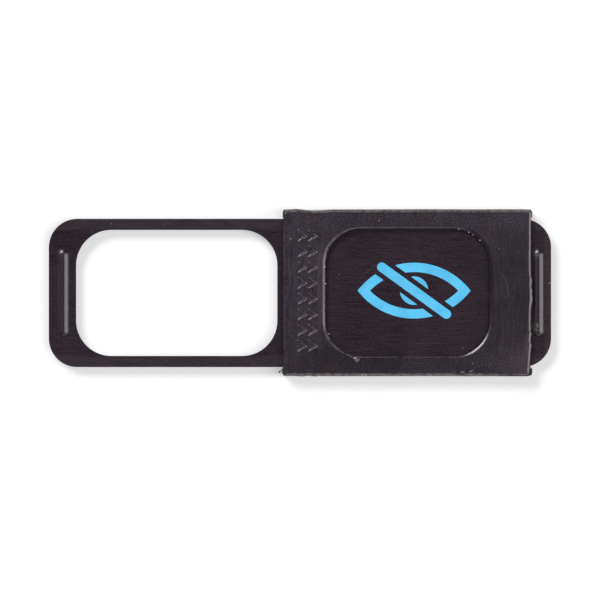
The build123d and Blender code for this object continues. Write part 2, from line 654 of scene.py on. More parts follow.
@dataclass(frozen=True)
class AnodisedFinish:
    """Black anodised sheet metal, brushed along the slide before it was dyed.

    It is scuffed where it rubs in the slot and where a thumb pushes it, its beads are burnished, and a
    painted highlight runs along the left bead's foot.
    """

    CONSTANTS: ClassVar[dict[str, Any]] = {
        "Anisotropic": 0.50,
        "Coat Roughness": 0.24,
        "Coat IOR": 1.64,
        "IOR": 1.35,
        "Specular Tint": (1.0, 0.88, 0.95, 1.0),
    }

    name: str = "black_anodised_sheet"
    dark: Colour = (0.0085, 0.0040, 0.0085, 1.0)
    light: Colour = (0.0390, 0.0250, 0.0380, 1.0)
    scuff_and_highlight: Colour = (0.0600, 0.0500, 0.0560, 1.0)
    dust: Specks = Specks((0.3000, 0.2800, 0.2800, 1.0), scale=1.7, size=0.07, share=0.22, strength=0.3)
    ground: float = -0.955
    patches: float = 0.30
    patch_share: float = 0.14
    brushing: Point = (0.35, 15.0, 15.0)
    line_share: float = 0.80
    line_depth: float = 0.0012
    line_axis: Point = (1.0, 0.0, 0.0)
    grain: Cloud = (6.0, 3.0, 0.6)
    grain_share: float = 1.75
    satin: Span = (0.0, 1.0, 0.37, 0.45)
    slot_rub: Range = (5.3, 5.8)
    thumb_rub: Range = (11.8, 12.2)
    handling: Span = (0.0, 1.0, 0.192, 0.448)
    bead_foot: Range = (1.005, 1.03)
    bead_gloss: float = 0.79
    bead_tint: Colour = (0.76, 0.55, 0.68, 1.0)
    crumbs: Cloud = (7.0, 3.0, 0.6)
    crumb_share: Range = (0.46, 0.64)
    bead_rubs: tuple[Patch, ...] = (
        Patch((11.28, 3.40), (0.60, 0.60), 0.45),
        Patch((11.26, -3.05), (0.60, 0.80), 0.50),
        Patch((-30.42, 3.50), (0.45, 0.45), 0.45),
    )
    fine_lines: tuple[Hairline, ...] = (
        Hairline((1.08, -3.63), 7.2, (-3.45, 1.97), 1.5, width=0.05, strength=0.85),
        Hairline((2.0, -30.0), 25.6, (1.6, -4.4), 2.4),
        Hairline((-14.0, 30.0), 23.8, (-17.0, 6.1), 3.0),
        # Not a scratch: a painted highlight along the left bead's foot.
        Hairline((-430.61, 0.0), 400.0, (-30.61, -0.1), 4.4, width=0.07, strength=0.90),
    )

    def material(self) -> Material:
        """Builds the material.

        Returns:
            The material.
        """
        shader = Shader(self.name, self.CONSTANTS)
        graph = shader.graph
        x, y, z = graph.parts(shader.place)
        lines = shader.effect(Effect.GRAIN, Stretch=self.brushing)
        patches = shader.effect(Effect.MOTTLE, Scale=self.patches)
        fine = graph.noise(shader.place, *self.grain)
        tone = graph.total(self.ground, (patches, self.patch_share), (lines, self.line_share),
                           (fine, self.grain_share))
        colour = graph.blend(tone, self.dark, self.light)
        by_slot = graph.ramp(graph.math("ABSOLUTE", y), *self.slot_rub)
        lightened = graph.math("MAXIMUM", by_slot, graph.ramp(x, *self.thumb_rub))
        colour = shader.mark(lightened, graph.ramp(tone, *self.handling), colour, self.scuff_and_highlight)
        raised = graph.ramp(z, *self.bead_foot)
        colour = graph.blend(raised, colour, self.bead_tint, "MULTIPLY")
        for scratch in self.fine_lines:
            colour = scratch.over(shader, colour, self.scuff_and_highlight)
        crumbly = graph.ramp(graph.noise(shader.place, *self.crumbs), *self.crumb_share)
        for rub in self.bead_rubs:
            colour = shader.mark(rub.mask(shader), crumbly, colour, self.dust.colour)
        shader.feed("Base Color", self.dust.over(shader, colour))
        shader.feed("Roughness", graph.ramp(tone, *self.satin))
        shader.feed("Coat Weight", graph.math("MULTIPLY", raised, self.bead_gloss))
        shader.feed("Tangent", graph.vector("CROSS_PRODUCT", shader.normal, self.line_axis))
        shader.bump(lines, self.line_depth)
        return shader.material


@dataclass(frozen=True)
class InkFinish:
    """Screen-printed ink: flat colour, slightly uneven, with pinholes."""

    name: str = "sky_blue_ink"
    thin: Colour = (0.085, 0.520, 0.860, 1.0)
    full: Colour = (0.105, 0.600, 0.960, 1.0)
    pinholes: Specks = Specks((0.020, 0.060, 0.090, 1.0), scale=4.0, size=0.08, share=0.25, strength=0.5)
    patches: float = 0.8
    satin: Span = (0.0, 1.0, 0.42, 0.54)
    grain: Cloud = (9.0, 3.0, 0.6)
    grain_depth: float = 0.002

    def material(self) -> Material:
        """Builds the material.

        Returns:
            The material.
        """
        shader = Shader(self.name)
        graph = shader.graph
        cover = shader.effect(Effect.MOTTLE, Scale=self.patches)
        shader.feed("Base Color", self.pinholes.over(shader, graph.blend(cover, self.thin, self.full)))
        shader.feed("Roughness", graph.ramp(cover, *self.satin))
        shader.bump(graph.noise(shader.place, *self.grain), self.grain_depth)
        return shader.material


@dataclass(frozen=True)
class TapeFinish:
    """Thin black foam tape: open cells with painted shade in their hollows, and a dull skin."""

    name: str = "black_foam_tape"
    cell_hollow_shade: Colour = (0.010, 0.010, 0.011, 1.0)
    skin: Colour = (0.040, 0.040, 0.042, 1.0)
    lint: Specks = Specks((0.250, 0.240, 0.230, 1.0), scale=1.5, size=0.08, share=0.3, strength=0.4)
    cells: float = 7.0
    cell_walls: Range = (0.1, 0.75)
    cell_share: float = 0.6
    cell_depth: float = 0.02
    cell_strength: float = 0.8
    patches: float = 0.7
    dullness: Span = (0.0, 1.0, 0.85, 0.6)

    def material(self) -> Material:
        """Builds the material.

        Returns:
            The material.
        """
        shader = Shader(self.name)
        graph = shader.graph
        depth = graph.ramp(graph.cells(shader.place, self.cells)["Distance"], *self.cell_walls)
        patches = shader.effect(Effect.MOTTLE, Scale=self.patches)
        # The cell hollows are painted darker, as shade, in step with their bump.
        tone = graph.total(0.0, (patches, 1 - self.cell_share), (depth, self.cell_share))
        shader.feed("Base Color", self.lint.over(shader, graph.blend(tone, self.cell_hollow_shade, self.skin)))
        shader.feed("Roughness", graph.ramp(depth, *self.dullness))
        shader.bump(depth, self.cell_depth, self.cell_strength)
        return shader.material


@dataclass(frozen=True)
class LintFinish:
    """Pale lint and dust grains."""

    name: str = "pale_lint"
    shade: Colour = (0.22, 0.20, 0.21, 1.0)
    pale: Colour = (0.75, 0.71, 0.72, 1.0)
    fibres: Cloud = (12.0, 2.0, 0.5)
    dullness: Span = (0.2, 0.8, 0.7, 0.9)

    def material(self) -> Material:
        """Builds the material.

        Returns:
            The material.
        """
        shader = Shader(self.name)
        tone = shader.graph.noise(shader.place, *self.fibres)
        shader.feed("Base Color", shader.graph.blend(tone, self.shade, self.pale))
        shader.feed("Roughness", shader.graph.ramp(tone, *self.dullness))
        return shader.material


@dataclass(frozen=True)
class PaperFinish:
    """The white paper under the part, which shows white where nothing shades it."""

    CONSTANTS: ClassVar[dict[str, Any]] = {
        "Roughness": 0.9,
        "Specular IOR Level": 0.0,
        "Emission Color": WHITE,
    }

    name: str = "white_paper"
    shade: Colour = (0.635, 0.635, 0.640, 1.0)
    white: Colour = (0.660, 0.660, 0.660, 1.0)
    fibres: Cloud = (0.9, 4.0, 0.6)
    glow: float = 0.435

    def material(self) -> Material:
        """Builds the material.

        Returns:
            The material.
        """
        shader = Shader(self.name, self.CONSTANTS)
        graph = shader.graph
        fibres = graph.noise(shader.place, *self.fibres)
        shader.feed("Base Color", graph.blend(fibres, self.shade, self.white))
        path = graph.add("ShaderNodeLightPath").outputs
        seen = graph.math("MAXIMUM", path["Is Camera Ray"], path["Is Glossy Ray"])
        seen = graph.math("MAXIMUM", seen, path["Is Transmission Ray"])
        shader.feed("Emission Strength", graph.math("MULTIPLY", seen, self.glow))
        return shader.material


class Patchwork:
    """Patches of points in millimetres that are welded into one mesh."""

    # The mesh value for edge wear and for painted highlights along edges.
    WEAR = "edge_wear"
    RIDGE_RISES = (-20, 0, 18, 36, 54, 70, 82)  # degrees up a ridge's round back, from below its face
    RIDGE_TURNS = (30, 60, 90, 120, 150)  # degrees round a ridge's end
    GRAIN_STEPS = 2
    GRAIN_SWELL = 0.55
    GRAIN_SCALE = 1.3
    SEED_STEP = (1.0, 0.7, -1.0)

    def __init__(self) -> None:
        """Starts an empty mesh that keeps an edge value at each point."""
        self.mesh = bmesh.new()
        self.wear = self.mesh.verts.layers.float.new(self.WEAR)

    def _vert(self, place: Sequence[float], wear: float) -> bmesh.types.BMVert:
        """Adds a point.

        Args:
            place: Where it lies.
            wear: Its edge value.

        Returns:
            The point.
        """
        vert = self.mesh.verts.new(place)
        vert[self.wear] = wear
        return vert

    def strip(self, rows: Sequence[Sequence[Point]], closed: bool = False,
              wear: Sequence[Sequence[float]] = ()) -> None:
        """Joins rows of equally many points by four-sided faces.

        Args:
            rows: The rows, each a list of points.
            closed: Whether each row comes round to its first point.
            wear: The edge value at each point of each row, or nothing for none.
        """
        values = wear or [[0.0] * len(row) for row in rows]
        verts = [[self._vert(*pair) for pair in zip(row, rubs)] for row, rubs in zip(rows, values)]
        for lower, upper in zip(verts, verts[1:]):
            count = len(lower)
            for index in range(count if closed else count - 1):
                after = (index + 1) % count
                self.mesh.faces.new((lower[index], lower[after], upper[after], upper[index]))

    def face(self, outline: Sequence[Point]) -> None:
        """Adds one flat face."""
        self.mesh.faces.new([self._vert(place, 0.0) for place in outline])

    def ridge(self, path: Sequence[Flat], width: float, height: float, level: float, wear: float) -> None:
        """Adds a low round-backed ridge along a bent line.

        Args:
            path: One end, the bend and the other end.
            width: Its width at the foot.
            height: How far it stands up.
            level: The height of the face that it stands on.
            wear: Its edge value.
        """
        start, bend, end = (Vector(place) for place in path)
        first, second = (bend - start).normalized(), (end - bend).normalized()
        left, last_left = Vector((-first.y, first.x)), Vector((-second.y, second.x))
        mitre = (left + last_left) / (1 + left.dot(last_left))
        turns = [(math.cos(turn), math.sin(turn)) for turn in map(math.radians, self.RIDGE_TURNS)]
        round_end = [last_left * cosine + second * sine for cosine, sine in turns]
        round_start = [left * cosine + first * sine for cosine, sine in turns]
        rows = []
        for angle in self.RIDGE_RISES:
            rise = math.sin(math.radians(angle))
            radius = width / 2 * math.cos(math.radians(max(angle, 0)))
            outline = [start + left * radius, bend + mitre * radius, end + last_left * radius]
            outline += [end + away * radius for away in round_end]
            outline += [end - last_left * radius, bend - mitre * radius, start - left * radius]
            outline += [start - away * radius for away in round_start]
            rows.append([(place.x, place.y, level + height * rise) for place in outline])
        self.strip(rows, closed=True, wear=[[wear] * len(row) for row in rows])
        self.face(rows[-1])
        self.face(rows[0])

    def lump(self, place: Point, size: Point, turn: float, seed: float, wear: float = 0.0) -> None:
        """Adds an uneven grain.

        Args:
            place: Its middle.
            size: Its half lengths before it is turned.
            turn: How far it is turned about Z.
            seed: Picks its shape.
            wear: Its edge value.
        """
        move = Matrix.Translation(place) @ Matrix.Rotation(turn, 4, "Z") @ Matrix.Diagonal((*size, 1.0))
        pick = Vector([seed * step for step in self.SEED_STEP])
        made = bmesh.ops.create_icosphere(self.mesh, subdivisions=self.GRAIN_STEPS, radius=1.0)["verts"]
        for vert in made:
            swell = 1 + self.GRAIN_SWELL * noise.noise(vert.co * self.GRAIN_SCALE + pick)
            vert.co = move @ (vert.co * swell)
            vert[self.wear] = wear

    def weld(self) -> None:
        """Joins points that lie together, and turns all faces outwards."""
        bmesh.ops.remove_doubles(self.mesh, verts=self.mesh.verts[:], dist=WELD_GAP)
        bmesh.ops.recalc_face_normals(self.mesh, faces=self.mesh.faces[:])

    def reshape(self, move: Callable[[Vector], Vector]) -> None:
        """Moves each point to where the given rule puts it."""
        for vert in self.mesh.verts:
            vert.co = move(vert.co)

    def piece(self, name: str, material: Material, body: Body, slot: Slot, crease: float = 30.0) -> Piece:
        """Makes the patches into a piece that rides on a body.

        Args:
            name: The piece's name.
            material: Its material.
            body: The body that it rides on.
            slot: The record's slot that its finish belongs to; not used.
            crease: The angle in degrees from which an edge stays sharp.

        Returns:
            The piece.
        """
        bmesh.ops.scale(self.mesh, vec=(MM, MM, MM), verts=self.mesh.verts[:])
        data = bpy.data.meshes.new(name)
        self.mesh.to_mesh(data)
        self.mesh.free()
        data.shade_smooth()
        data.set_sharp_from_angle(angle=math.radians(crease))
        data.materials.append(material)
        piece = put_in_scene(name, data)
        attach(piece, body.value)
        LOG.info("built %s with %d faces", name, len(data.polygons))
        return piece


@dataclass(frozen=True)
class Station:
    """One of the places round the sleeve at which its outlines are drawn.

    The middle of a side has fixed places. Beyond them, a corner zone follows the outline's own corner.
    The zone value goes from 0 at the last fixed place to 1 at the corner.
    """

    side: Side
    along: float
    zone: float
    share: float


@dataclass(frozen=True)
class RoundedHole:
    """A rounded-rectangle opening, and how far its middle lies from the origin."""

    length: float
    width: float
    corner: float
    offset: Flat = (0.0, 0.0)

    def at(self, side: Side, share: float, grow: float = 0.0) -> Flat:
        """A place on the opening's edge.

        Args:
            side: The side that it lies on, which reaches to the middle of the corner at each end.
            share: How far along that side, anticlockwise.
            grow: How much larger than the opening its edge is drawn.

        Returns:
            The place in X and Y.
        """
        halves = (self.length / 2 + grow, self.width / 2 + grow)
        out, half_run = halves if side.is_end else halves[::-1]
        corner = self.corner + grow
        straight = half_run - corner
        path = (2 * share - 1) * (straight + corner * math.pi / 4)
        along = path
        if abs(path) > straight:
            angle = (abs(path) - straight) / corner
            along = math.copysign(straight + corner * math.sin(angle), path)
            out -= corner * (1 - math.cos(angle))
        x, y = side.turn(out, along)
        return x + self.offset[0], y + self.offset[1]

    def row(self, stations: Sequence[Station], grow: float = 0.0) -> list[Flat]:
        """The opening's edge at these stations, drawn larger by that much."""
        return [self.at(station.side, station.share, grow) for station in stations]


@dataclass(frozen=True)
class Outline:
    """A rectangle round the window. Its corners may be drawn in along X."""

    right: float
    left: float
    half_width: float
    draw_in: float = 0.0

    def at(self, station: Station) -> Flat:
        """The outline's place at a station.

        Args:
            station: The station.

        Returns:
            The place in X and Y.
        """
        side = station.side
        sign = math.copysign(1.0, station.along)
        if side.is_end:
            out = (self.right if side is Side.RIGHT else self.left) - self.draw_in * station.zone
            reach = self.half_width
        else:
            out = self.half_width
            towards_right = (sign < 0) == (side is Side.TOP)
            reach = (self.right if towards_right else self.left) - self.draw_in
        along = station.along + sign * station.zone * (reach - abs(station.along))
        return side.turn(out, along)


@dataclass(frozen=True)
class Bump:
    """A swelling of an edge: its middle, its spread and its height, all along that edge."""

    middle: float
    spread: float
    height: float

    def at(self, place: float) -> float:
        """How far the edge stands out at a place along it."""
        return self.height * math.exp(-(((place - self.middle) / self.spread) ** 2))


@dataclass(frozen=True)
class Grain:
    """One grain: its place, how far it stands above its face, its half width, and how it is drawn out."""

    x: float
    y: float
    rise: float
    size: float
    stretch: float = 1.0
    turn: float = 0.0

    def lay(self, patches: Patchwork, face_z: float, flatness: Flat, seed: float, wear: float = 0.0) -> None:
        """Adds the grain to a mesh.

        Args:
            patches: Where it goes.
            face_z: The height of the face that it lies on.
            flatness: Its breadth and height, as shares of its size.
            seed: Picks its shape.
            wear: Its edge value.
        """
        breadth, height = flatness
        shape = (self.size * self.stretch, self.size * breadth, self.size * height)
        patches.lump((self.x, self.y, face_z + self.rise), shape, self.turn, seed, wear)


@dataclass(frozen=True)
class Flash:
    """The crumbs of moulding flash: a ragged corner, a nick, scrapes, and a rough part of the window's rim.

    Where two numbers pick shapes, they are the first grain's number and the step to the next one.
    """

    seed: int = 31
    corner_crumbs: tuple[Point, ...] = (  # X, Y and size
        (-11.24, -6.91, 0.12),
        (-11.10, -6.82, 0.08),
        (-10.98, -6.72, 0.11),
        (-10.94, -6.95, 0.12),
        (-10.83, -6.88, 0.12),
        (-10.84, -7.03, 0.10),
        (-10.70, -7.11, 0.10),
        (-10.57, -7.17, 0.08),
        (-10.86, -6.56, 0.09),
        (-10.85, 6.56, 0.10),
        (-9.90, -7.22, 0.08),
        (-9.33, -7.23, 0.09),
        (-9.18, -7.22, 0.07),
        (-8.88, -7.22, 0.06),
        (-8.53, -7.23, 0.07),
        (-8.20, -7.23, 0.06),
        (-7.97, -7.23, 0.06),
    )
    corner_depth: float = 0.15
    corner_breadth: Range = (0.55, 0.8)
    corner_height: Range = (0.7, 1.0)
    corner_turn: Range = (0.2, 1.1)
    corner_shapes: tuple[float, float] = (0.0, 3.1)
    nick: tuple[Flat, ...] = ((-4.84, -5.70), (-4.49, -6.06), (-4.27, -5.82))
    nick_width: float = 0.14
    nick_height: float = 0.11
    nick_rub: float = 0.70
    scrapes: tuple[Grain, ...] = (
        Grain(-4.56, -5.79, 0.01, 0.16, stretch=1.25, turn=-0.75),
        Grain(-4.98, -5.58, -0.03, 0.09, stretch=1.6, turn=-0.3),
        Grain(4.80, -6.94, 0.0, 0.065, stretch=3.4, turn=-0.12),
        Grain(5.58, -6.84, 0.0, 0.055, stretch=3.6, turn=0.30),
        Grain(4.08, -6.93, 0.0, 0.06),
        Grain(-10.62, -6.52, -0.10, 0.06),
        Grain(-10.55, -6.90, -0.10, 0.07, stretch=1.5, turn=0.9),
        Grain(-10.30, -7.06, -0.06, 0.06, stretch=1.6, turn=0.2),
        Grain(-9.70, -7.08, -0.06, 0.05, stretch=1.8),
        Grain(-9.05, -7.10, -0.06, 0.06, stretch=1.5, turn=-0.3),
    )
    scrape_flatness: Flat = (1.0, 0.5)
    scrape_rub: float = 0.75
    scrape_shapes: tuple[float, float] = (90.0, 2.3)
    rim_crumbs: int = 18
    rim_bearings: Range = (12.0, 84.0)
    rim_offset: tuple[float, float] = (0.04, 0.05)  # mean and spread
    rim_depth: float = 0.08
    rim_depth_spread: float = 0.06
    rim_sizes: tuple[Range, ...] = ((0.03, 0.07), (0.03, 0.05), (0.03, 0.06))
    rim_shapes: tuple[float, float] = (50.0, 1.7)

    def add_corner(self, patches: Patchwork, draw: random.Random, low: float, high: float) -> None:
        """Adds the crumbs of the ragged corner.

        Args:
            patches: Where they go.
            draw: Where the random numbers come from.
            low: The height of the slot's roof.
            high: The height of the sleeve's front face.
        """
        first, step = self.corner_shapes
        for index, (x, y, size) in enumerate(self.corner_crumbs):
            z = draw.uniform(low, high - self.corner_depth)
            breadth = size * draw.uniform(*self.corner_breadth)
            height = size * draw.uniform(*self.corner_height)
            turn = draw.uniform(*self.corner_turn)
            patches.lump((x, y, z), (size, breadth, height), turn, first + step * index)

    def add_scrapes(self, patches: Patchwork, face_z: float) -> None:
        """Adds the nick and the scrapes.

        Args:
            patches: Where they go.
            face_z: The height of the sleeve's front face.
        """
        patches.ridge(self.nick, self.nick_width, self.nick_height, face_z, self.nick_rub)
        first, step = self.scrape_shapes
        for index, grain in enumerate(self.scrapes):
            grain.lay(patches, face_z, self.scrape_flatness, first + step * index, self.scrape_rub)

    def add_rim(self, patches: Patchwork, draw: random.Random, window: RoundedHole, face_z: float) -> None:
        """Adds the crumbs along the window's upper right corner.

        Args:
            patches: Where they go.
            draw: Where the random numbers come from.
            window: The window.
            face_z: The height of the sleeve's front face.
        """
        first, step = self.rim_shapes
        centre_x = window.offset[0] + window.length / 2 - window.corner
        centre_y = window.offset[1] + window.width / 2 - window.corner
        for index in range(self.rim_crumbs):
            angle = math.radians(draw.uniform(*self.rim_bearings))
            radius = window.corner + draw.gauss(*self.rim_offset)
            place = (centre_x + radius * math.cos(angle), centre_y + radius * math.sin(angle),
                     face_z - self.rim_depth - draw.uniform(0.0, self.rim_depth_spread))
            size = tuple(draw.uniform(*limits) for limits in self.rim_sizes)
            patches.lump(place, size, draw.uniform(0, math.pi), first + step * index)


@dataclass
class Sleeve:
    """The moulded sleeve: a flat tube with a slot for the plate, a window in each wall and grip chevrons."""

    low: Vector
    high: Vector
    finish: MouldedFinish = field(default_factory=MouldedFinish)
    flash: Flash = field(default_factory=Flash)
    front_wall: float = 0.45
    back_wall: float = 0.45
    side_wall: float = 0.70
    setback: float = 0.14
    window: RoundedHole = RoundedHole(14.42, 11.18, 3.16, offset=(-0.040, 0.035))
    rim: RoundedHole = RoundedHole(14.90, 11.57, 3.29, offset=(-0.015, 0.050))
    rim_drop: float = 0.10
    rim_ease: float = 0.27
    back_rim: float = 0.10
    right_bevel: Bevel = (0.15, 0.085, 0.05)
    left_bevel: Bevel = (0.30, 0.17, 0.20)
    left_shift: float = 0.06
    left_overhang: float = 0.085
    edge_radius: float = 0.27
    back_radius: float = 0.10
    back_steps: int = 4
    lead_in: float = 0.12
    plan_corner: float = 0.30
    slot_draw_in: float = 0.3
    # Edge wear and painted highlight round the window's rim at eight bearings; rim_fade spreads it across the
    # rim's slope.
    rim_rub_and_highlight: tuple[float, ...] = (0.0, 0.02, 0.13, 0.28, 0.09, 0.50, 0.20, 0.33)  # anticlockwise from +X
    rim_fade: tuple[float, ...] = (0.2, 0.7, 1.0, 0.8, 0.4, 0.0)
    # Edge wear and painted highlight along the front wall's edges; edge_fade spreads it across the edge's
    # rings.
    edge_rub_and_highlight: tuple[float, ...] = (0.41, 0.55, 0.15, 0.70)  # right, top, left and bottom
    edge_fade: tuple[float, ...] = (0.25, 1.0, 1.0, 0.80, 0.60, 0.45, 0.30)
    step_start: Range = (6.0, 9.5)
    step_width: float = 0.175
    step_slope: float = 0.75
    corner_zone: float = 0.90
    lip_reach: float = 0.30
    end_reach: float = 1.20
    side_reach: float = 0.6
    ripple_scale: float = 2.3
    ripple_level: float = 4.0
    ripple_height: float = 0.012
    zones: tuple[float, ...] = (0.25, 0.50, 0.70, 0.85, 1.0)
    slot_rings: tuple[float, ...] = (1.0, 0.6, 0.25, 0.0)
    face_rings: tuple[float, ...] = (0.008, *spaced(0.07, 0.93, 11), 0.988)
    back_rings: tuple[float, ...] = (0.0, 0.03, 0.25, 0.5, 0.75, 1.0)
    end_places: int = 97
    long_places: int = 221
    chevron_middle: Flat = (-8.79, 0.15)
    chevron_rows: int = 8
    chevron_pitch: float = 1.38
    chevron_spacing: float = 0.92
    chevron_depth: float = 0.62
    chevron_reach: float = 0.46
    chevron_line: float = 0.28
    chevron_height: float = 0.10
    chevron_rub: float = 0.16
    right_edge: tuple[Bump, ...] = (
        Bump(7.0, 0.6, 0.08),
        Bump(2.9, 0.9, -0.02),
        Bump(1.15, 0.35, 0.09),
        Bump(0.3, 0.45, 0.10),
        Bump(-0.55, 0.50, 0.14),
        Bump(-2.4, 0.8, -0.02),
        Bump(-3.55, 0.10, 0.07),
        Bump(-4.60, 0.20, 0.07),
        Bump(-7.2, 1.5, -0.15),
    )
    left_edge: tuple[Bump, ...] = (Bump(3.6, 0.3, 0.03), Bump(-2.2, 0.8, 0.02), Bump(-6.6, 0.4, 0.05))
    top_edge: tuple[Bump, ...] = (
        Bump(0.0, 30.0, 0.03),
        Bump(-9.6, 0.55, 0.04),
        Bump(-8.2, 0.9, -0.12),
        Bump(1.5, 2.5, 0.015),
        Bump(8.5, 2.0, 0.01),
    )
    bottom_edge: tuple[Bump, ...] = (
        Bump(-10.35, 0.12, -0.05),
        Bump(-9.95, 0.10, -0.04),
        Bump(-9.3, 0.25, 0.03),
        Bump(-8.75, 0.12, -0.05),
        Bump(-8.1, 0.2, 0.03),
        Bump(-7.75, 0.10, -0.03),
        Bump(2.0, 3.0, -0.01),
        Bump(5.1, 0.4, 0.02),
    )

    def __post_init__(self) -> None:
        """Works out lengths and levels from the frame's box, and makes the material."""
        self.half_length = (self.high.x - self.low.x) / 2
        self.half_width = (self.high.y - self.low.y) / 2
        self.slot_half = self.half_width - self.side_wall
        self.wall_end = self.half_length - self.setback
        self.mouth = self.wall_end - self.lead_in
        self.back_z = self.low.z
        self.floor_z = self.low.z + self.back_wall
        self.lip_z = self.floor_z - self.lead_in
        self.roof_z = self.high.z - self.front_wall
        self.front_z = self.high.z
        self.material = self.finish.material()

    def stations(self) -> list[Station]:
        """The stations round the front and back walls.

        Returns:
            The stations, anticlockwise from the lower right corner.
        """
        found = []
        for side in Side:
            limit = self.slot_half if side.is_end else self.wall_end - self.corner_zone
            half = self.half_width if side.is_end else self.wall_end
            places = self.end_places if side.is_end else self.long_places
            runs = [(-limit, zone) for zone in reversed(self.zones)]
            runs += [(place, 0.0) for place in spaced(-limit, limit, places)]
            runs += [(limit, zone) for zone in self.zones[:-1]]
            for along, zone in runs:
                place = along + math.copysign(zone, along) * (half - abs(along))
                found.append(Station(side, along, zone, (place + half) / (2 * half)))
        return found

    @staticmethod
    def ring(stations: Sequence[Station], outline: Outline, inner: Sequence[Flat], share: float,
             height: float) -> Ring:
        """A ring of points between an inner edge and an outline, all at one height.

        Args:
            stations: The stations that it passes.
            outline: The outline outside it.
            inner: The inner edge's place at each station.
            share: 0 at the inner edge, 1 at the outline.
            height: Its height.

        Returns:
            The points.
        """
        pairs = zip(inner, stations)
        return [(*mix_flat(place, outline.at(station), share), height) for place, station in pairs]

    def rim_rub_and_highlight_at(self, station: Station) -> float:
        """How much edge wear and painted highlight the window's rim gets, from the values at eight bearings
        round it.

        Args:
            station: The station.

        Returns:
            The edge value.
        """
        nudge = 0.01
        inner = self.window.at(station.side, station.share)
        outer = self.window.at(station.side, station.share, nudge)
        bearing = math.atan2(outer[1] - inner[1], outer[0] - inner[0])
        count = len(self.rim_rub_and_highlight)
        place = (bearing % math.tau) / math.tau * count
        before = int(place) % count
        return mix(self.rim_rub_and_highlight[before], self.rim_rub_and_highlight[(before + 1) % count], place - int(place))

    def edge_rub_and_highlight_at(self, station: Station, ring: int, x: float) -> float:
        """How much edge wear and painted highlight the front wall's edge gets.

        The left bevel gets it at its foot, and the bottom edge's foot loses it where it is stepped.

        Args:
            station: The station.
            ring: Number of the ring, from the face to the wall.
            x: The ring's place along the slide.

        Returns:
            The edge value.
        """
        fade = self.edge_fade[::-1] if station.side is Side.LEFT else self.edge_fade
        rub = self.edge_rub_and_highlight[station.side.value] * fade[ring]
        if station.side is Side.BOTTOM and ring >= len(self.edge_fade) // 2:
            rub *= 1 - self.step_share(x)
        return rub

    def step_share(self, x: float) -> float:
        """How far the bottom edge has turned from a round into a low step, at a place along the slide."""
        start, end = self.step_start
        return smooth_step((x - start) / (end - start))

    def step_profile(self) -> list[Flat]:
        """The step that the bottom edge turns into.

        Returns:
            Pairs of inset from the wall and drop below the face, from the face to the wall.
        """
        profile = []
        for turn in spaced(0.0, 1.0, len(self.edge_fade)):
            # A curve that runs into a straight slope halfway.
            drop = turn * turn if turn < 0.5 else turn - 0.25
            profile.append(((1 - turn) * self.step_width, drop * self.step_width * self.step_slope))
        return profile

    def edge_place(self, station: Station, right: Flat, left: Flat, side: Flat, step: Flat) -> Point:
        """A place on the front wall's edge.

        Args:
            station: The station.
            right: Inset and drop of the bevel at the right end.
            left: Inset and drop of the bevel at the left end.
            side: Inset and drop of the rounded long edges.
            step: Inset and drop of the step that the bottom edge turns into.

        Returns:
            The place.
        """
        ends = (self.wall_end - right[0], self.wall_end - left[0])
        x, y = Outline(*ends, self.half_width - side[0]).at(station)
        share = self.step_share(x) if y < 0 else 0.0
        stepped = Outline(*ends, self.half_width - step[0]).at(station)
        end_down = right[1] if x > 0 else left[1]
        side_down = mix(side[1], step[1], share)
        down = end_down if station.side.is_end else side_down
        at_corner = station.zone == 1.0
        if at_corner:
            down = max(end_down, side_down)
        return (*mix_flat((x, y), stepped, share), self.front_z - down)

    def _rim_slope(self, stations: Sequence[Station], hole: Sequence[Flat],
                   rim: Sequence[Flat]) -> tuple[list[Ring], list[list[float]]]:
        """The slope round the window's front.

        Args:
            stations: The stations that it passes.
            hole: The window's edge at each station.
            rim: The slope's outer edge at each station.

        Returns:
            The rings from the window to the face, and their edge values.
        """
        rubs = [self.rim_rub_and_highlight_at(station) for station in stations]
        slope = eased_bevel(1.0, self.rim_drop, self.rim_ease, len(self.rim_fade) - 1)[::-1]
        rings = [[(*mix_flat(low, high, share), self.front_z - drop) for low, high in zip(hole, rim)]
                 for share, drop in slope]
        return rings, [[rub * fade for rub in rubs] for fade in self.rim_fade]

    def _front_edge(self, stations: Sequence[Station]) -> tuple[list[Ring], list[list[float]]]:
        """The front wall's bevelled and rounded edge.

        Args:
            stations: The stations that it passes.

        Returns:
            The rings from the face to the wall, and their edge values.
        """
        steps = len(self.edge_fade) - 1
        right = eased_bevel(*self.right_bevel, steps)
        left = eased_bevel(*self.left_bevel, steps)
        sides = eased_bevel(self.edge_radius, self.edge_radius, 1.0, steps)
        profiles = zip(right, left, sides, self.step_profile())
        rings = [[self.edge_place(station, *spans) for station in stations] for spans in profiles]
        wear = [[self.edge_rub_and_highlight_at(station, number, place[0]) for station, place in zip(stations, ring)]
                for number, ring in enumerate(rings)]
        return rings, wear

